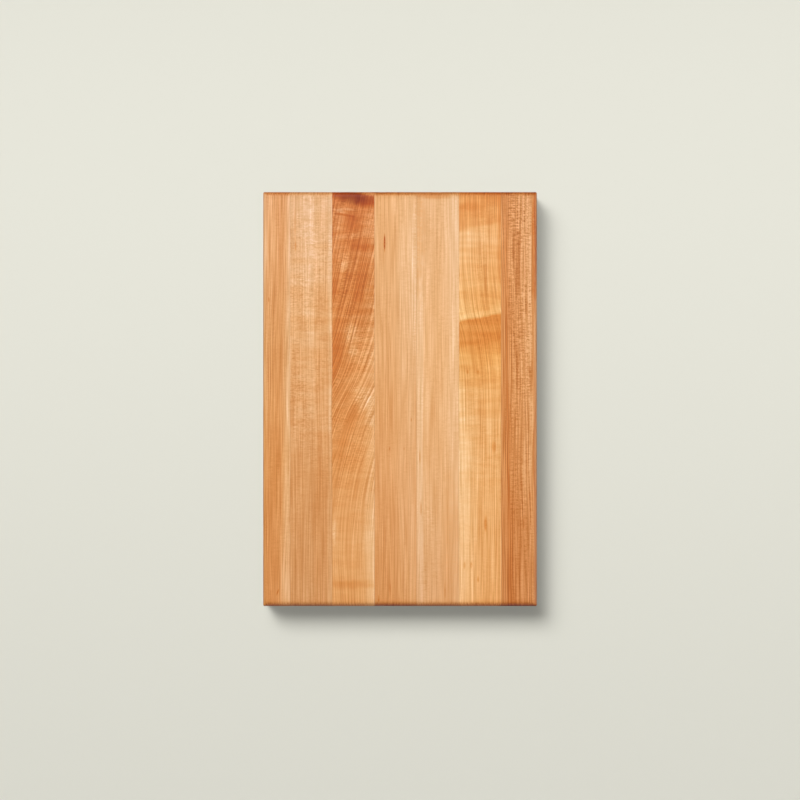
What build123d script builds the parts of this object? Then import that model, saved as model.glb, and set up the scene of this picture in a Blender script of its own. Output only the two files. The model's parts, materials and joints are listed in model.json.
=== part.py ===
from build123d import *
import os

# An edge-grain cutting board: maple staves glued side by side, trimmed to size and
# rounded over along both faces. Every size is in millimetres. The origin is at the
# middle of the underside, with X across the staves, Y along the grain and Z up.

# Driving dimensions
board_width = 304.8
board_length = 461.0
board_thickness = 38.1
edge_radius = 6.0           # the round along every edge of the top and of the underside
corner_radius = 1.5         # the four upright corners are only broken by sanding
first_stave_width = 30.1    # the outer staves lose width when the glued board is trimmed
full_stave_width = 46.95    # from the middle of one glue line to the next
full_stave_count = 5
glue_thickness = 0.15


def drawn_out(section, length, direction):
    """A solid of this section, half of its length to each side of the section's plane."""
    return extrude(section, amount=length / 2, dir=direction, both=True)


def board_blank():
    """The outside of the whole board: the overlap of a front, a side and a plan outline.

    The rounds of neighbouring edges meet in a mitre at each corner, as a router leaves
    them, and the plan outline then breaks the upright corners.
    """
    middle = (0, 0, board_thickness / 2)
    front = Plane(middle, x_dir=(1, 0, 0), z_dir=(0, -1, 0)) * RectangleRounded(
        board_width, board_thickness, edge_radius
    )
    side = Plane(middle, x_dir=(0, 1, 0), z_dir=(1, 0, 0)) * RectangleRounded(
        board_length, board_thickness, edge_radius
    )
    plan = Plane(middle) * RectangleRounded(board_width, board_length, corner_radius)
    return (
        drawn_out(front, board_length, (0, 1, 0))
        & drawn_out(side, board_width, (1, 0, 0))
        & drawn_out(plan, board_thickness, (0, 0, 1))
    )


def glue_line_middles():
    """The X of the middle of each glue line, from left to right."""
    first = first_stave_width - board_width / 2
    return [first + full_stave_width * number for number in range(full_stave_count + 1)]


def slice_of(blank, left, right):
    """The stretch of the board between two upright planes across X."""
    slab = Box(right - left, board_length, board_thickness)
    return blank & Pos((left + right) / 2, 0, board_thickness / 2) * slab


def write(piece, name):
    export_step(piece, f"parts/{name}.step")


os.makedirs("parts", exist_ok=True)

board = board_blank()
stave_left = -board_width / 2
for number, middle in enumerate(glue_line_middles(), start=1):
    glue_left = middle - glue_thickness / 2
    glue_right = middle + glue_thickness / 2
    write(slice_of(board, stave_left, glue_left), f"stave_{number}")
    write(slice_of(board, glue_left, glue_right), f"glue_line_{number}")
    stave_left = glue_right
write(slice_of(board, stave_left, board_width / 2), f"stave_{full_stave_count + 2}")
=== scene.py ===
import json
import math
from collections.abc import Sequence
from dataclasses import dataclass

import bmesh
import bpy
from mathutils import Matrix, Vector


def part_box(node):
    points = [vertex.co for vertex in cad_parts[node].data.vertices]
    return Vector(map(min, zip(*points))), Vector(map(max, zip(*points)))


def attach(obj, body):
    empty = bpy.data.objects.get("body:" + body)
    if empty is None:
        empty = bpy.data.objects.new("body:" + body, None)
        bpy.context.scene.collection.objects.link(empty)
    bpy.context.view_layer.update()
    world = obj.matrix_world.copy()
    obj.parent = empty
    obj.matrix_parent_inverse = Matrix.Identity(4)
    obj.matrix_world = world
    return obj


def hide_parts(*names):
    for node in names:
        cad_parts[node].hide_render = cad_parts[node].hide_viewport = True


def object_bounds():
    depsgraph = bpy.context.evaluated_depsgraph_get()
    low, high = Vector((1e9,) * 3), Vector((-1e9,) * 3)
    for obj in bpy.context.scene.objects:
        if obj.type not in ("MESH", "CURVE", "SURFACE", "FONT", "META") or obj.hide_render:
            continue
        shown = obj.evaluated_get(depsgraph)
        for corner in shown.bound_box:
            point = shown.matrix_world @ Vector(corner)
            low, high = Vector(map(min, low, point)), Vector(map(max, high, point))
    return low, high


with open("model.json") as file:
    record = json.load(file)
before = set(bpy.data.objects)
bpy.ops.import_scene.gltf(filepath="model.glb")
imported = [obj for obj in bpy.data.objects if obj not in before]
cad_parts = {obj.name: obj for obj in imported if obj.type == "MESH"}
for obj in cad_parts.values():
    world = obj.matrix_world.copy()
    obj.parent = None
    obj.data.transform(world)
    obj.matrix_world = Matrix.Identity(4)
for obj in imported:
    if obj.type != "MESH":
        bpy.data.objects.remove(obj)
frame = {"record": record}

# A cutting board of maple staves, glued side by side. X runs across the staves, Y along
# the grain and Z up, in metres. Fractions across a stave count from its left side, and
# fractions along it from its near end.

MM = 0.001
CAD_LOW, CAD_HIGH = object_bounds()

STAVES = [f"stave_{number}" for number in range(1, 8)]
GLUE_LINES = [f"glue_line_{number}" for number in range(1, 7)]
SLOT_OF = {entry["node"]: entry["material_slot"] for entry in frame["record"]["subparts"]}

EDGE_RADIUS = 6.0 * MM         # the round along the edges of both faces
CORNER_RADIUS = 1.5 * MM       # the upright corners
EDGE_STEPS = 14                # facets in a quarter of the edge round
CORNER_STEPS = 5               # facets in one upright corner
FLAT_MARGIN = 0.4 * MM         # a narrow flat border that keeps the faces shaded flat
SHARP_ANGLE = 40               # degrees: a steeper fold than this is shaded as an edge


# ---- Material graphs -----------------------------------------------------------------

NOISE_GAIN = 8.0               # brings the Noise node's spread round 0.5 up to about 1
SEED_STEP = (1.0, 0.7, 0.3)    # how far one unit of seed moves a noise along X, Y and Z
CAP_SOFTNESS = 0.3             # how wide a stretch of values a soft cap bends, in tone

# A Mix node has sockets for every kind of data. These are the ones for colours.
MIX_COLOUR_A = 6
MIX_COLOUR_B = 7
MIX_COLOUR_RESULT = 2


def arithmetic(operation, swapped=False):
    """An operator of Field that becomes one Math node."""
    def apply(self, other):
        values = (other, self) if swapped else (self, other)
        return self.graph.math(operation, *values)
    return apply


class Field:
    """A number that changes over a surface: a node's output, with ordinary arithmetic."""

    __add__ = __radd__ = arithmetic("ADD")
    __mul__ = __rmul__ = arithmetic("MULTIPLY")
    __sub__ = arithmetic("SUBTRACT")
    __rsub__ = arithmetic("SUBTRACT", swapped=True)
    __truediv__ = arithmetic("DIVIDE")

    def __init__(self, graph, socket):
        self.graph = graph
        self.socket = socket


class Graph:
    """A material's node tree, with one short call for each kind of node it needs."""

    def __init__(self, name):
        self.material = bpy.data.materials.new(name)
        self.material.use_nodes = True
        self.tree = self.material.node_tree
        self.tree.nodes.clear()

    def node(self, kind, **settings):
        made = self.tree.nodes.new(kind)
        for name, value in settings.items():
            setattr(made, name, value)
        return made

    def feed(self, socket, value):
        """Link an input to a field or an output, or set it to a constant."""
        if isinstance(value, Field):
            value = value.socket
        if isinstance(value, bpy.types.NodeSocket):
            self.tree.links.new(value, socket)
        else:
            socket.default_value = value

    def math(self, operation, *values):
        node = self.node("ShaderNodeMath", operation=operation)
        for socket, value in zip(node.inputs, values):
            self.feed(socket, value)
        return Field(self, node.outputs["Value"])

    def split(self, vector):
        """The three parts of a vector output."""
        node = self.node("ShaderNodeSeparateXYZ")
        self.feed(node.inputs[0], vector)
        return [Field(self, output) for output in node.outputs]

    def vector(self, x, y, z):
        node = self.node("ShaderNodeCombineXYZ")
        for socket, value in zip(node.inputs, (x, y, z)):
            self.feed(socket, value)
        return node.outputs["Vector"]

    def between(self, value, low, high):
        """Rises smoothly from 0 at low to 1 at high."""
        node = self.node("ShaderNodeMapRange", interpolation_type="SMOOTHSTEP")
        self.feed(node.inputs["Value"], value)
        self.feed(node.inputs["From Min"], low)
        self.feed(node.inputs["From Max"], high)
        return Field(self, node.outputs["Result"])

    def capped(self, value, highest):
        """The value, which levels off softly as it nears the highest one."""
        return self.math("SMOOTH_MIN", value, highest, CAP_SOFTNESS)

    def profile(self, value, points):
        """A smooth curve through (value, result) points, with value from 0 to 1."""
        low = min(result for _, result in points)
        high = max(result for _, result in points)
        span = high - low if high > low else 1.0    # a level curve has no span of its own
        node = self.node("ShaderNodeFloatCurve")
        self.feed(node.inputs["Value"], value)
        node.mapping.extend = "HORIZONTAL"
        line = node.mapping.curves[0]
        for place, result in points[1:-1]:
            line.points.new(place, (result - low) / span)
        for end in (0, -1):
            place, result = points[end]
            line.points[end].location = (place, (result - low) / span)
        node.mapping.update()
        return Field(self, node.outputs["Value"]) * span + low

    def noise(self, place, size, seed, detail=2.0):
        """Noise with a spread of about 1 round 0. Its features have this size along X, Y and Z."""
        scaled = self.node("ShaderNodeMapping")
        self.feed(scaled.inputs["Vector"], place)
        scaled.inputs["Scale"].default_value = [1 / part for part in size]
        scaled.inputs["Location"].default_value = [seed * step for step in SEED_STEP]
        node = self.node("ShaderNodeTexNoise")
        self.feed(node.inputs["Vector"], scaled.outputs["Vector"])
        self.feed(node.inputs["Scale"], 1.0)
        self.feed(node.inputs["Detail"], detail)
        return (Field(self, node.outputs["Fac"]) - 0.5) * NOISE_GAIN

    def ramp(self, value, stops):
        """A colour for each value from 0 to 1, through (value, colour) stops."""
        node = self.node("ShaderNodeValToRGB")
        self.feed(node.inputs["Fac"], value)
        made = node.color_ramp.elements
        for place, _ in stops[1:-1]:
            made.new(place)
        for stop, (_, colour) in zip(made, stops):
            stop.color = colour
        return node.outputs["Color"]

    def product(self, first, second):
        """Two colours multiplied."""
        node = self.node("ShaderNodeMix", data_type="RGBA", blend_type="MULTIPLY")
        self.feed(node.inputs["Factor"], 1.0)
        self.feed(node.inputs[MIX_COLOUR_A], first)
        self.feed(node.inputs[MIX_COLOUR_B], second)
        return node.outputs[MIX_COLOUR_RESULT]

    def stained(self, colour, stain, tone):
        """The colour darkened by a stain where the tone is below 0, and bleached where it's above."""
        node = self.node("ShaderNodeGamma")
        node.inputs["Color"].default_value = stain
        self.feed(node.inputs["Gamma"], 0.0 - tone)
        return self.product(colour, node.outputs["Color"])

    def surface(self, colour, roughness, height, relief, specular):
        """The finished shader, with a bump of this relief in metres."""
        bump = self.node("ShaderNodeBump")
        self.feed(bump.inputs["Strength"], 1.0)
        self.feed(bump.inputs["Distance"], relief)
        self.feed(bump.inputs["Height"], height)
        shader = self.node("ShaderNodeBsdfPrincipled")
        self.feed(shader.inputs["Base Color"], colour)
        self.feed(shader.inputs["Roughness"], roughness)
        self.feed(shader.inputs["Normal"], bump.outputs["Normal"])
        self.feed(shader.inputs["Specular IOR Level"], specular)
        output = self.node("ShaderNodeOutputMaterial")
        self.feed(output.inputs["Surface"], shader.outputs["BSDF"])
        return self.material


def paint(red, green, blue):
    """A colour given as it looks on a screen, from 0 to 255, as Blender's linear colour.

    This is the curved part of the sRGB standard, so it suits all but the darkest colours.
    """
    return [((part / 255 + 0.055) / 1.055) ** 2.4 for part in (red, green, blue)] + [1.0]


# ---- Wood ----------------------------------------------------------------------------

# A tone is 0 for a stave's own colour, above 0 where the wood is paler and below 0 where it
# is darker. A tone of -1 lets this much of the red, green and blue light through.
GRAIN_STAIN = (0.60, 0.37, 0.175, 1.0)       # fine grain, and end grain
# The broad stain also carries the painted light on stave 7's right edge round, where it bleaches the
# wood.
HEART_STAIN_AND_EDGE_LIGHT = (0.72, 0.37, 0.13, 1.0)        # broad stripes and bands, which turn orange
MINERAL_STAIN = (0.55, 0.38, 0.24, 1.0)      # mineral streaks, which turn purple-brown
BRIGHTEST_GRAIN = 0.42                       # tones level off here
BRIGHTEST_HEART_AND_EDGE_LIGHT = 0.50
END_GRAIN_TONE = -0.9                        # end grain drinks more oil
END_RING_TONE = 0.35                         # which its late-wood rings show
END_SOAK_TONE = -0.14                        # some of it soaks in past the edge
END_SOAK_WHOLE = EDGE_RADIUS / 2             # all of it up to this far from the end
END_SOAK_GONE = 10 * MM                      # and none of it from here

# Sizes of features in the wood: across the grain, along it, and upright
FINE_STREAK = (1.2 * MM, 60 * MM, 1.2 * MM)
MIDDLE_STREAK = (3.4 * MM, 160 * MM, 3.4 * MM)
BROAD_STREAK = (10 * MM, 400 * MM, 10 * MM)
RAY_FLECK = (6.0 * MM, 1.6 * MM, 1.0 * MM)
RAY_SPECK = (1.6 * MM, 1.6 * MM, 1.0 * MM)
RAY_COLUMN = (1.3 * MM, 40 * MM, 1.3 * MM)   # flecks line up where fibres catch the light
RAY_PATCH = (16 * MM, 50 * MM, 16 * MM)
WANDER = (40 * MM, 170 * MM, 40 * MM)        # how the fibres stray from straight lines
CURL_RIPPLE = (34 * MM, 7 * MM, 34 * MM)
EDGE_WOBBLE = (5 * MM, 14 * MM, 5 * MM)      # how marks and bands get uneven edges

# Sizes in the rings' own space: outwards from the pith, along the grain, and one not used
RING_SHIFT = (14 * MM, 300 * MM, 1.0)
RING_FADE = (7 * MM, 90 * MM, 1.0)

MIDDLE_STREAK_SHARE = 0.12     # against 1 for the fine streaks
BROAD_STREAK_SHARE = 0.2
WANDER_STRENGTH = 0.5 * MM

# (fraction of the way out through a ring, darkness): the late wood is a thin dark line
RING_PROFILE = [(0.0, -0.3), (0.55, -0.1), (0.86, 0.8), (0.94, 0.7), (1.0, -0.3)]
RING_SHIFT_STRENGTH = 0.8      # in rings
RING_STRENGTH = 0.8
RING_STRENGTH_VARIATION = 0.45

FLECK_STRENGTH = 0.8
FLECK_STRENGTH_VARIATION = 0.4
SPECK_STRENGTH = 0.35
RAY_RANGE = (-3.0, 2.0)        # the rays level off outside this range
RAY_MIDDLE = 0.65              # where on the smooth rise from 0 to 1 over it their tone is 0
RAY_GAIN = 3.4
RAY_PATCH_RANGE = (-3.5, 1.5)  # from a patch with no rays to one with all of them

MARK_CORE = 0.3                # a mark is whole out to this share of its half-width
MARK_RIM = 1.2                 # and gone at this one
MARK_WHOLE_DEPTH = 5 * MM      # it is whole down to this depth
MARK_GONE_DEPTH = 9 * MM       # and gone at this one
EDGE_WOBBLE_STRENGTH = 0.12    # in half-widths of a mark
BAND_WOBBLE = 0.008            # of the stave's length, for one unit of wobble
RAYS_IN_MARKS = 0.4            # how much the rays break up a mark

WOOD_ROUGHNESS = 0.5
WOOD_ROUGHNESS_VARIATION = 0.02
WOOD_SPECULAR = 0.3
WOOD_RELIEF = 0.01 * MM
STREAK_HEIGHT = 0.6            # shares of the relief
RAY_HEIGHT = 0.4
RING_HEIGHT = 0.5


@dataclass
class Mark:
    """A soft-edged light or dark place in the top of a stave."""

    across: float            # fraction of the stave
    along: float             # fraction of the stave
    width: float             # metres, before it is turned
    length: float            # metres, before it is turned
    tone: float
    turn: float = 0.0        # degrees, counter-clockwise from above
    mineral: bool = False    # stained with minerals, instead of heartwood


@dataclass
class Look:
    """What sets one stave's wood apart. Distances are in metres, and strengths in tone."""

    shades: Sequence         # (fraction along, colour)
    across: Sequence         # (fraction across, tone)
    rays: Sequence           # (fraction along, strength)
    pith: Sequence           # the middle of the rings, right of and above the stave's middle
    seed: float
    thirst: float = 1.1      # how much oil the end grain drinks
    drift: Sequence = ((0, 0.0), (1, 0.0))       # (fraction along, fibres' shift to the right)
    lean: float = 0.0        # how far the stripes across move to the right, end to end
    ring_width: float = 3.2 * MM
    rings: float = 0.12
    streaks: float = 0.07
    grain: Sequence = ((0, 1.0), (1, 1.0))       # (fraction along, share of rings and streaks)
    ray_share: Sequence = ((0, 1.0), (1, 1.0))   # (fraction across, share of the rays)
    curl: Sequence = ()      # (fraction along, strength), for ripples across the grain
    bands: Sequence = ()     # (fraction along, tone), for bands that cross the stave
    band_rise: float = 0.0   # how much farther along the bands are on the right, as a fraction
    marks: Sequence = ()


# The noises below add different numbers to the stave's seed, so that they don't line up.
# Only the wander and the fine streaks share one, and those differ widely in size.


def streak_field(graph, place, seed):
    """Fibre streaks, from fine lines to broad soft stripes, all drawn out along Y."""
    fine = graph.noise(place, FINE_STREAK, seed, detail=1.0)
    middle = graph.noise(place, MIDDLE_STREAK, seed + 3, detail=1.0)
    broad = graph.noise(place, BROAD_STREAK, seed + 7, detail=1.0)
    return fine + middle * MIDDLE_STREAK_SHARE + broad * BROAD_STREAK_SHARE


def ring_field(graph, fibre, y, z, look, middle):
    """Growth rings round the pith: above 0 on the thin dark line, and below 0 between lines."""
    sideways = fibre - (look.pith[0] + middle.x)
    upright = z - (look.pith[1] + middle.z)
    radius = graph.math("SQRT", sideways * sideways + upright * upright)
    place = graph.vector(radius, y, 0.0)
    shift = graph.noise(place, RING_SHIFT, look.seed + 11, detail=1.0) * RING_SHIFT_STRENGTH
    fade = graph.noise(place, RING_FADE, look.seed + 13, detail=1.0)
    strength = fade * RING_STRENGTH_VARIATION + RING_STRENGTH
    part_way = graph.math("FRACT", radius / look.ring_width + shift)
    return graph.profile(part_way, RING_PROFILE) * strength


def ray_field(graph, place, seed):
    """Medullary rays: short thin flecks that lie across the grain, in patches.

    Bright flecks are held back more than dark gaps, so that no white spots stand out.
    """
    flecks = graph.noise(place, RAY_FLECK, seed + 17, detail=1.0)
    specks = graph.noise(place, RAY_SPECK, seed + 19, detail=0.0)
    columns = graph.noise(place, RAY_COLUMN, seed + 20, detail=0.0)
    patches = graph.noise(place, RAY_PATCH, seed + 21, detail=1.0)
    fleck_strength = columns * FLECK_STRENGTH_VARIATION + FLECK_STRENGTH
    woven = flecks * fleck_strength + specks * SPECK_STRENGTH
    evened = (graph.between(woven, *RAY_RANGE) - RAY_MIDDLE) * RAY_GAIN
    return evened * graph.between(patches, *RAY_PATCH_RANGE)


def mark_field(graph, mark, x, y, z, low, high, wobble):
    """The tone that one mark adds at each place of a stave between these corners."""
    right = x - (low.x + mark.across * (high.x - low.x))
    ahead = y - (low.y + mark.along * (high.y - low.y))
    cosine = math.cos(math.radians(mark.turn))
    sine = math.sin(math.radians(mark.turn))
    sideways = (right * cosine + ahead * sine) / (mark.width / 2)
    lengthways = (ahead * cosine - right * sine) / (mark.length / 2)
    distance = graph.math("SQRT", sideways * sideways + lengthways * lengthways)
    shape = 1.0 - graph.between(distance + wobble, MARK_CORE, MARK_RIM)
    near_top = graph.between(z, high.z - MARK_GONE_DEPTH, high.z - MARK_WHOLE_DEPTH)
    return shape * near_top * mark.tone


def end_field(graph, y, rings, low, high):
    """The tone of the oil in the end grain, and of what soaks in past the edges of the ends."""
    normal = graph.node("ShaderNodeNewGeometry").outputs["Normal"]
    facing_end = graph.math("ABSOLUTE", graph.split(normal)[1])
    end_grain = graph.between(facing_end, 0.0, 1.0)
    to_end = (high.y - low.y) / 2 - graph.math("ABSOLUTE", y - (low.y + high.y) / 2)
    soaked = 1.0 - graph.between(to_end, END_SOAK_WHOLE, END_SOAK_GONE)
    return end_grain * (END_GRAIN_TONE - rings * END_RING_TONE) + soaked * END_SOAK_TONE


def wood_material(node, look):
    """The wood of one stave, as a solid that goes right through it."""
    low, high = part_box(node)
    width = high.x - low.x
    length = high.y - low.y
    graph = Graph(f"{SLOT_OF[node]}_wood")
    position = graph.node("ShaderNodeTexCoord").outputs["Object"]
    x, y, z = graph.split(position)
    along = (y - low.y) / length

    # The fibres, and what follows them
    wander = graph.noise(position, WANDER, look.seed, detail=1.0) * WANDER_STRENGTH
    fibre = x - graph.profile(along, look.drift) + wander
    place = graph.vector(fibre, y, z)
    streaks = streak_field(graph, place, look.seed)
    rings = ring_field(graph, fibre, y, z, look, (low + high) / 2)
    rays = ray_field(graph, place, look.seed)
    wobble = graph.noise(place, EDGE_WOBBLE, look.seed + 23) * EDGE_WOBBLE_STRENGTH
    across = (x + wander - low.x - (along - 0.5) * look.lean) / width

    # Fine grain
    grain = (streaks * look.streaks - rings * look.rings) * graph.profile(along, look.grain)
    grain = grain + rays * graph.profile(along, look.rays) * graph.profile(across, look.ray_share)
    ends = end_field(graph, y, rings, low, high)
    grain = graph.capped(grain, BRIGHTEST_GRAIN) + ends * look.thirst

    # Broad stripes, bands, ripples and marks, and on stave 7 a painted lift of light on its right edge
    # round
    heart_and_edge_light = graph.profile(across, look.across)
    if look.bands:
        level = along - (x - low.x) / width * look.band_rise + wobble * BAND_WOBBLE
        heart_and_edge_light = heart_and_edge_light + graph.profile(level, look.bands)
    if look.curl:
        ripples = graph.noise(position, CURL_RIPPLE, look.seed + 29, detail=1.0)
        heart_and_edge_light = heart_and_edge_light + ripples * graph.profile(along, look.curl)
    minerals = []
    for mark in look.marks:
        spot = mark_field(graph, mark, x, y, z, low, high, wobble)
        if mark.mineral:
            minerals.append(spot)
        else:
            heart_and_edge_light = heart_and_edge_light + spot * (rays * RAYS_IN_MARKS + 1.0)
    heart_and_edge_light = graph.capped(heart_and_edge_light, BRIGHTEST_HEART_AND_EDGE_LIGHT)

    colour = graph.ramp(along, [(fraction, paint(*shade)) for fraction, shade in look.shades])
    colour = graph.stained(colour, GRAIN_STAIN, grain)
    colour = graph.stained(colour, HEART_STAIN_AND_EDGE_LIGHT, heart_and_edge_light)
    for mineral in minerals:
        colour = graph.stained(colour, MINERAL_STAIN, mineral)
    roughness = (streaks + rays) * WOOD_ROUGHNESS_VARIATION + WOOD_ROUGHNESS
    height = streaks * STREAK_HEIGHT + rays * RAY_HEIGHT - rings * RING_HEIGHT
    return graph.surface(colour, roughness, height, WOOD_RELIEF, WOOD_SPECULAR)


GLUE_MOTTLE = (4 * MM, 12 * MM, 4 * MM)
GLUE_SEED = 5.0
GLUE_DARK = paint(152, 96, 56)
GLUE_PALE = paint(196, 134, 84)
GLUE_SHADE = 0.5               # from the dark colour at 0 to the pale one at 1
GLUE_SHADE_VARIATION = 0.25
GLUE_ROUGHNESS = 0.55
GLUE_ROUGHNESS_VARIATION = 0.04
GLUE_SPECULAR = 0.35
GLUE_RELIEF = 0.03 * MM


def glue_material():
    """Cured glue: a dull brown film that shows only as a thin line."""
    graph = Graph("cured_glue")
    position = graph.node("ShaderNodeTexCoord").outputs["Object"]
    mottle = graph.noise(position, GLUE_MOTTLE, GLUE_SEED, detail=3.0)
    shade = mottle * GLUE_SHADE_VARIATION + GLUE_SHADE
    colour = graph.ramp(shade, [(0, GLUE_DARK), (1, GLUE_PALE)])
    roughness = mottle * GLUE_ROUGHNESS_VARIATION + GLUE_ROUGHNESS
    return graph.surface(colour, roughness, mottle, GLUE_RELIEF, GLUE_SPECULAR)
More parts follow.
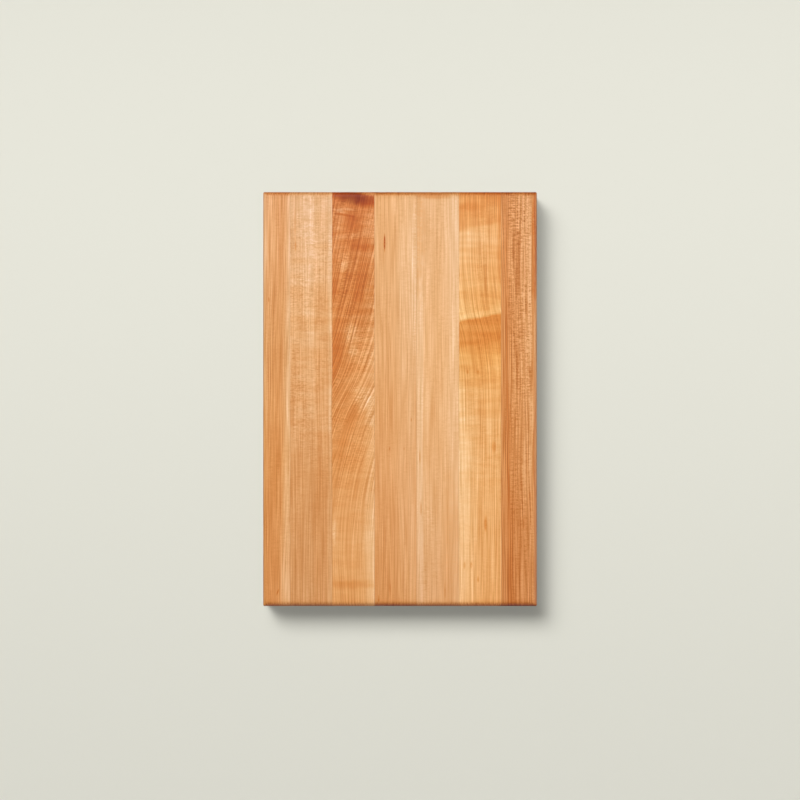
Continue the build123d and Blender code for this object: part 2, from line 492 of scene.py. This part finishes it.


# From the left stave to the right one. The marks are placed to suit the photo.
LOOKS = {
    "stave_1": Look(
        shades=[(0, (225, 155, 92)), (0.35, (224, 154, 88)), (0.65, (225, 162, 101)),
                (1, (230, 168, 113))],
        across=[(0, 0.10), (0.12, -0.04), (0.3, -0.08), (0.5, -0.12), (0.65, -0.08), (0.75, 0.0),
                (0.86, 0.20), (1, 0.32)],
        rays=[(0, 0.05), (1, 0.05)],
        pith=(-90 * MM, -30 * MM),
        seed=1.0,
        thirst=0.9,
        drift=[(0, 0.0), (1, 8 * MM)],
        lean=8 * MM,
        ring_width=3.3 * MM,
        rings=0.18,
        streaks=0.16,
        grain=[(0, 0.9), (1, 1.1)],
        marks=[
            Mark(0.22, 0.74, 1.4 * MM, 6 * MM, -0.5),
            Mark(0.55, 0.035, 2 * MM, 9 * MM, -0.5, turn=-20),
        ],
    ),
    "stave_2": Look(
        shades=[(0, (218, 153, 94)), (0.3, (221, 155, 94)), (0.42, (226, 163, 104)),
                (0.7, (230, 171, 113)), (1, (234, 184, 137))],
        across=[(0, 0.04), (0.1, -0.01), (0.5, 0.04), (0.65, -0.06), (0.88, -0.04), (0.94, 0.08),
                (1, 0.0)],
        rays=[(0, 0.04), (0.3, 0.06), (0.5, 0.13), (1, 0.13)],
        pith=(160 * MM, 20 * MM),
        seed=12.0,
        thirst=0.75,
        rings=0.08,
        streaks=0.12,
        ray_share=[(0, 0.6), (0.3, 1.0), (0.8, 1.0), (1, 0.6)],
        curl=[(0, 0.01), (0.3, 0.02), (0.55, 0.05), (1, 0.01)],
        marks=[
            Mark(0.12, 0.92, 1.8 * MM, 50 * MM, -0.3),
            Mark(0.13, 0.868, 2.0 * MM, 16 * MM, -0.45),
        ],
    ),
    "stave_3": Look(
        shades=[(0, (232, 166, 101)), (0.17, (236, 174, 112)), (0.35, (228, 157, 90)),
                (0.6, (221, 147, 81)), (0.75, (212, 131, 64)), (1, (210, 125, 63))],
        across=[(0, -0.06), (0.3, -0.09), (0.6, -0.05), (0.85, 0.14), (1, 0.28)],
        rays=[(0, 0.03), (0.25, 0.05), (0.5, 0.15), (1, 0.18)],
        pith=(-190 * MM, -40 * MM),
        seed=23.0,
        thirst=0.6,
        drift=[(0, 0.0), (0.22, 0.0), (0.4, 17 * MM), (0.6, 56 * MM), (0.8, 81 * MM), (1, 99 * MM)],
        ring_width=3.0 * MM,
        rings=0.26,
        streaks=0.14,
        grain=[(0, 0.65), (0.25, 0.7), (0.45, 1.2), (0.65, 1.5), (0.8, 1.55), (1, 0.95)],
        curl=[(0, 0.03), (0.5, 0.05), (0.8, 0.11), (1, 0.11)],
        marks=[
            Mark(0.22, 0.992, 44 * MM, 12 * MM, -0.5, turn=-4),
            Mark(0.50, 0.986, 44 * MM, 17 * MM, -0.85, turn=-9, mineral=True),
            Mark(0.82, 0.977, 32 * MM, 17 * MM, -0.9, turn=-12),
            Mark(0.80, 0.996, 28 * MM, 5 * MM, 0.5, turn=-9),
            Mark(0.14, 0.955, 20 * MM, 3.4 * MM, 0.55, turn=-15),
            Mark(0.42, 0.957, 24 * MM, 3.2 * MM, 0.45, turn=-3),
            Mark(0.10, 0.925, 22 * MM, 50 * MM, 0.16),
            Mark(0.48, 0.931, 22 * MM, 12 * MM, -0.30),
            Mark(0.33, 0.943, 28 * MM, 3 * MM, -0.5, turn=-10),
            Mark(0.5, 0.915, 32 * MM, 11 * MM, -0.30),
            Mark(0.35, 0.893, 38 * MM, 7 * MM, 0.32),
            Mark(0.72, 0.870, 34 * MM, 11 * MM, -0.32, turn=-6),
            Mark(0.28, 0.83, 20 * MM, 26 * MM, 0.26),
            Mark(0.72, 0.80, 16 * MM, 80 * MM, -0.25, turn=-10),
            Mark(0.05, 0.775, 14 * MM, 24 * MM, -0.30),
            Mark(0.95, 0.79, 14 * MM, 70 * MM, -0.14),
            Mark(0.02, 0.60, 26 * MM, 100 * MM, -0.40, turn=-12),
            Mark(0.42, 0.66, 24 * MM, 28 * MM, 0.36, turn=-20),
            Mark(0.50, 0.615, 14 * MM, 16 * MM, 0.32, turn=-20),
            Mark(0.74, 0.50, 26 * MM, 38 * MM, 0.28, turn=25),
            Mark(0.92, 0.45, 16 * MM, 18 * MM, 0.20, turn=20),
            Mark(0.35, 0.42, 16 * MM, 70 * MM, -0.15, turn=-22),
            Mark(0.05, 0.185, 5 * MM, 36 * MM, 0.2),
            Mark(0.5, 0.053, 70 * MM, 11 * MM, -0.18),
        ],
    ),
    "stave_4": Look(
        shades=[(0, (224, 156, 94)), (0.25, (231, 167, 108)), (0.5, (231, 170, 111)),
                (0.75, (234, 179, 124)), (1, (233, 176, 119))],
        across=[(0, -0.02), (0.1, -0.08), (0.35, -0.08), (0.55, -0.03), (0.66, 0.04), (0.76, 0.03),
                (0.86, 0.11), (0.94, 0.06), (1, 0.0)],
        rays=[(0, 0.03), (1, 0.04)],
        pith=(-150 * MM, 30 * MM),
        seed=34.0,
        thirst=1.3,
        ring_width=5.0 * MM,
        rings=0.12,
        streaks=0.12,
        grain=[(0, 0.95), (0.8, 1.0), (1, 1.3)],
        marks=[
            Mark(0.95, 0.83, 6 * MM, 290 * MM, 0.12),
            Mark(0.24, 0.878, 1.8 * MM, 20 * MM, -1.3),
            Mark(0.87, 0.45, 1.4 * MM, 5 * MM, -0.4),
            Mark(0.36, 0.38, 1.4 * MM, 5 * MM, -0.4),
            Mark(0.70, 0.38, 1.4 * MM, 5 * MM, -0.35),
            Mark(0.10, 0.018, 1.6 * MM, 8 * MM, -0.5),
            Mark(0.37, 0.045, 1.4 * MM, 18 * MM, -0.5),
        ],
    ),
    "stave_5": Look(
        shades=[(0, (231, 170, 114)), (0.25, (236, 179, 123)), (0.6, (238, 183, 127)),
                (1, (235, 184, 133))],
        across=[(0, 0.10), (0.12, 0.15), (0.17, -0.02), (0.45, -0.06), (0.7, -0.02), (0.9, 0.08),
                (1, 0.0)],
        rays=[(0, 0.03), (1, 0.06)],
        pith=(170 * MM, -20 * MM),
        seed=45.0,
        rings=0.05,
        streaks=0.10,
        marks=[
            Mark(0.35, 0.989, 44 * MM, 8 * MM, -0.35),
            Mark(0.05, 0.93, 14 * MM, 190 * MM, -0.28),
            Mark(0.36, 0.12, 30 * MM, 210 * MM, 0.08),
            Mark(0.82, 0.14, 24 * MM, 210 * MM, -0.12),
            Mark(0.075, 0.36, 1.3 * MM, 14 * MM, -0.45),
            Mark(0.10, 0.237, 1.3 * MM, 18 * MM, -0.65),
            Mark(0.67, 0.035, 1.3 * MM, 24 * MM, -0.4),
        ],
    ),
    "stave_6": Look(
        shades=[(0, (242, 178, 112)), (0.45, (240, 178, 111)), (0.6, (235, 164, 86)),
                (0.7, (233, 165, 90)), (0.88, (236, 173, 108)), (1, (236, 171, 104))],
        across=[(0, 0.24), (0.1, 0.14), (0.3, 0.06), (0.5, -0.04), (0.7, -0.07), (0.88, -0.07),
                (1, -0.10)],
        rays=[(0, 0.02), (0.6, 0.05), (1, 0.04)],
        pith=(-130 * MM, -40 * MM),
        seed=56.0,
        drift=[(0, 0.0), (0.5, 0.0), (0.62, -4 * MM), (0.75, -15 * MM), (0.9, -19 * MM), (1, -19 * MM)],
        ring_width=3.4 * MM,
        rings=0.15,
        streaks=0.15,
        curl=[(0, 0.01), (0.25, 0.02), (0.45, 0.07), (1, 0.05)],
        bands=[(0, 0.0), (0.53, 0.0), (0.60, -0.10), (0.62, -0.18), (0.632, -0.46), (0.66, -0.38),
               (0.684, -0.42), (0.69, 0.26), (0.70, 0.24), (0.71, -0.02), (0.80, 0.0),
               (0.895, 0.05), (0.912, -0.28), (0.985, -0.34), (1, -0.2)],
        band_rise=0.02,
        marks=[
            Mark(0.25, 0.965, 26 * MM, 16 * MM, -0.22),
            Mark(0.04, 0.86, 16 * MM, 150 * MM, -0.12),
            Mark(0.55, 0.86, 16 * MM, 110 * MM, 0.08),
            Mark(0.97, 0.88, 8 * MM, 150 * MM, -0.18),
            Mark(0.8, 0.955, 22 * MM, 22 * MM, 0.14),
            Mark(0.2, 0.565, 3 * MM, 6 * MM, -0.3),
            Mark(0.45, 0.565, 3 * MM, 6 * MM, -0.3),
            Mark(0.83, 0.385, 5 * MM, 18 * MM, -0.3),
            Mark(0.63, 0.20, 4 * MM, 18 * MM, -0.5),
            Mark(0.29, 0.10, 3 * MM, 9 * MM, -0.3),
            Mark(0.13, 0.10, 3 * MM, 9 * MM, -0.3),
            Mark(0.45, 0.065, 3 * MM, 9 * MM, -0.3),
        ],
    ),
    "stave_7": Look(
        shades=[(0, (210, 133, 71)), (0.2, (213, 137, 74)), (0.4, (216, 144, 81)),
                (0.7, (218, 148, 86)), (1, (221, 154, 95))],
        # The rise to 0.12 at the right edge is painted light: it lifts the edge round that faces away
        # from the key.
        across=[(0, 0.06), (0.1, -0.06), (0.2, -0.2), (0.3, -0.08), (0.5, 0.0), (0.7, 0.08),
                (0.85, 0.12), (0.92, 0.0), (1, 0.12)],
        rays=[(0, 0.07), (0.4, 0.18), (0.7, 0.28), (1, 0.33)],
        pith=(140 * MM, 40 * MM),
        seed=67.0,
        thirst=1.25,
        drift=[(0, 0.0), (1, -4 * MM)],
        lean=-4 * MM,
        ring_width=4.0 * MM,
        rings=0.40,
        streaks=0.20,
        grain=[(0, 0.95), (0.5, 0.95), (0.75, 1.05), (1, 1.15)],
        ray_share=[(0, 0.2), (0.2, 0.4), (0.3, 1.0), (0.82, 1.0), (0.92, 0.3), (1, 0.3)],
        marks=[
            Mark(0.95, 0.90, 9 * MM, 170 * MM, -0.65),
            Mark(0.06, 0.62, 1.6 * MM, 420 * MM, -0.28, turn=0.5),
            Mark(0.16, 0.55, 1.8 * MM, 460 * MM, -0.28, turn=0.8),
            Mark(0.62, 0.20, 1.8 * MM, 16 * MM, -0.4),
            Mark(0.80, 0.27, 1.8 * MM, 9 * MM, -0.35),
        ],
    ),
}


# ---- Meshes --------------------------------------------------------------------------

def levels():
    """How far the board's sides stand in, and how high, from the underside to the top."""
    lower = [(EDGE_RADIUS + FLAT_MARGIN, 0.0)]
    for step in range(EDGE_STEPS + 1):
        turn = math.pi / 2 * step / EDGE_STEPS
        inset = EDGE_RADIUS * (1 - math.sin(turn))
        height = EDGE_RADIUS * (1 - math.cos(turn))
        lower.append((inset, height))
    thickness = CAD_HIGH[2] - CAD_LOW[2]
    upper = [(inset, thickness - height) for inset, height in reversed(lower)]
    return lower + upper


def rounded_outline(inset, height):
    """The board's outline at one level, with its upright corners broken, as 3-D points."""
    half_x = (CAD_HIGH[0] - CAD_LOW[0]) / 2 - inset - CORNER_RADIUS
    half_y = (CAD_HIGH[1] - CAD_LOW[1]) / 2 - inset - CORNER_RADIUS
    points = []
    for quadrant, (sign_x, sign_y) in enumerate([(1, 1), (-1, 1), (-1, -1), (1, -1)]):
        for step in range(CORNER_STEPS + 1):
            turn = math.pi / 2 * (quadrant + step / CORNER_STEPS)
            points.append(Vector((
                sign_x * half_x + CORNER_RADIUS * math.cos(turn),
                sign_y * half_y + CORNER_RADIUS * math.sin(turn),
                CAD_LOW[2] + height,
            )))
    return points


def board_shell():
    """The whole board's skin as a bmesh: one loop of points for each level, joined up."""
    shell = bmesh.new()
    loops = [[shell.verts.new(point) for point in rounded_outline(*level)] for level in levels()]
    for under, over in zip(loops, loops[1:]):
        for place in range(len(under)):
            shell.faces.new((under[place - 1], under[place], over[place], over[place - 1]))
    shell.faces.new(reversed(loops[0]))
    shell.faces.new(loops[-1])
    return shell


def cut_away(shell, x, outward):
    """Cut the shell at this X, drop what lies on the outward side, and close the cut."""
    everything = shell.verts[:] + shell.edges[:] + shell.faces[:]
    cut = bmesh.ops.bisect_plane(
        shell, geom=everything, plane_co=(x, 0, 0), plane_no=(outward, 0, 0), clear_outer=True
    )
    rim = [part for part in cut["geom_cut"] if isinstance(part, bmesh.types.BMEdge)]
    bmesh.ops.contextual_create(shell, geom=rim)


def make_piece(node, material):
    """A finer mesh of one CAD node, made by cutting it out of the whole board's skin."""
    low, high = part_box(node)
    shell = board_shell()
    if low.x > CAD_LOW[0] + CORNER_RADIUS:
        cut_away(shell, low.x, -1)
    if high.x < CAD_HIGH[0] - CORNER_RADIUS:
        cut_away(shell, high.x, 1)
    bmesh.ops.recalc_face_normals(shell, faces=shell.faces)
    mesh = bpy.data.meshes.new(f"{node}_finished")
    shell.to_mesh(mesh)
    shell.free()
    mesh.shade_smooth()
    mesh.set_sharp_from_angle(angle=math.radians(SHARP_ANGLE))
    mesh.materials.append(material)
    piece = bpy.data.objects.new(f"{node}_finished", mesh)
    bpy.context.scene.collection.objects.link(piece)
    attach(piece, "root")
    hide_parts(node)


# ---- Stage, lights and camera --------------------------------------------------------

FLOOR_SIZE = 12.0
FLOOR_COLOUR = paint(229, 228, 216)
FLOOR_MOTTLE = (0.3, 0.3, 0.3)
FLOOR_SEED = 2.0
FLOOR_ROUGHNESS = 0.9
FLOOR_ROUGHNESS_VARIATION = 0.02
FLOOR_SPECULAR = 0.2
FLOOR_RELIEF = 0.1 * MM

LENS = 85.0                    # millimetres, on Blender's 36 mm sensor
FRAME_WIDTH = 0.8888           # how much the frame takes in at the height of the top face
CAMERA_Y = -1 * MM             # a touch to the near side of the board's middle

# The key is two suns side by side, so its shadow is softer on the right than on the near side.
KEY_PLACES = {"key_left": Vector((-25.5, 26.8, 38)), "key_right": Vector((-13.5, 26.8, 38))}
KEY_STRENGTH = 1.28            # of each sun
KEY_ANGLE = 30                 # degrees
STRIP_PLACE = Vector((0, 0.40, 0.8))
STRIP_LENGTH = 4.0
STRIP_WIDTH = 0.3
STRIP_POWER = 5.6              # watts
FILL_STRENGTHS = {0: 1.5, 270: 1.1}     # by degrees round from +X
FILL_ELEVATION = 6             # degrees
FILL_ANGLE = 50                # degrees
WORLD_STRENGTH = 0.03


def make_floor():
    """A plain pale floor that fills the main view. Low views see past its far end."""
    half = FLOOR_SIZE / 2
    corners = [(-half, -half, 0), (half, -half, 0), (half, half, 0), (-half, half, 0)]
    mesh = bpy.data.meshes.new("floor")
    mesh.from_pydata(corners, [], [(0, 1, 2, 3)])
    graph = Graph("pale_floor")
    position = graph.node("ShaderNodeTexCoord").outputs["Object"]
    mottle = graph.noise(position, FLOOR_MOTTLE, FLOOR_SEED)
    roughness = mottle * FLOOR_ROUGHNESS_VARIATION + FLOOR_ROUGHNESS
    surface = graph.surface(FLOOR_COLOUR, roughness, mottle, FLOOR_RELIEF, FLOOR_SPECULAR)
    mesh.materials.append(surface)
    floor = bpy.data.objects.new("floor", mesh)
    bpy.context.scene.collection.objects.link(floor)


def add_light(name, kind, place, strength):
    """A light that shines from this place towards the origin, and doesn't bounce."""
    light = bpy.data.lights.new(name, kind)
    light.energy = strength
    light.cycles.max_bounces = 0
    lamp = bpy.data.objects.new(name, light)
    lamp.location = place
    lamp.rotation_euler = place.to_track_quat("Z", "Y").to_euler()
    bpy.context.scene.collection.objects.link(lamp)
    return light


def drop_shadows(light):
    """Stop a light's shadows, and the faint ones that sampling by the surface brings back."""
    light.use_shadow = False
    light.cycles.use_multiple_importance_sampling = False


def light_scene():
    """A soft key from the upper left, a strip over the far end, and low fills from two sides.

    Only the key casts shadows, so the other lights lift its shadow evenly.
    """
    for name, place in KEY_PLACES.items():
        key = add_light(name, "SUN", place, KEY_STRENGTH)
        key.angle = math.radians(KEY_ANGLE)
    strip = add_light("strip", "AREA", STRIP_PLACE, STRIP_POWER)
    strip.shape = "RECTANGLE"
    strip.size = STRIP_LENGTH
    strip.size_y = STRIP_WIDTH
    drop_shadows(strip)
    for degrees, strength in FILL_STRENGTHS.items():
        turn = math.radians(degrees)
        place = Vector((math.cos(turn), math.sin(turn), math.tan(math.radians(FILL_ELEVATION))))
        fill = add_light(f"fill_{degrees}", "SUN", place, strength)
        fill.angle = math.radians(FILL_ANGLE)
        drop_shadows(fill)


def set_world():
    """A dim even sky for the light, which the camera sees as a pale backdrop."""
    world = bpy.data.worlds.new("studio")
    world.use_nodes = True
    bpy.context.scene.world = world
    tree = world.node_tree
    tree.nodes.clear()
    glow = tree.nodes.new("ShaderNodeBackground")
    glow.inputs["Color"].default_value = (1.0, 1.0, 1.0, 1.0)
    glow.inputs["Strength"].default_value = WORLD_STRENGTH
    backdrop = tree.nodes.new("ShaderNodeBackground")
    backdrop.inputs["Color"].default_value = FLOOR_COLOUR
    seen = tree.nodes.new("ShaderNodeLightPath").outputs["Is Camera Ray"]
    either = tree.nodes.new("ShaderNodeMixShader")
    choice, when_unseen, when_seen = either.inputs
    output = tree.nodes.new("ShaderNodeOutputWorld")
    tree.links.new(seen, choice)
    tree.links.new(glow.outputs["Background"], when_unseen)
    tree.links.new(backdrop.outputs["Background"], when_seen)
    tree.links.new(either.outputs["Shader"], output.inputs["Surface"])


def add_camera():
    """Looks straight down on the board, with the far end of the staves at the top."""
    camera = bpy.data.cameras.new("camera")
    camera.lens = LENS
    distance = FRAME_WIDTH * LENS / camera.sensor_width
    view = bpy.data.objects.new("camera", camera)
    view.location = (0, CAMERA_Y, CAD_HIGH[2] + distance)
    bpy.context.scene.collection.objects.link(view)
    bpy.context.scene.camera = view


# ---- The scene -----------------------------------------------------------------------

bpy.context.scene.view_settings.view_transform = "Standard"
add_camera()
set_world()
light_scene()
make_floor()
for stave in STAVES:
    make_piece(stave, wood_material(stave, LOOKS[stave]))
glue = glue_material()
for glue_line in GLUE_LINES:
    make_piece(glue_line, glue)
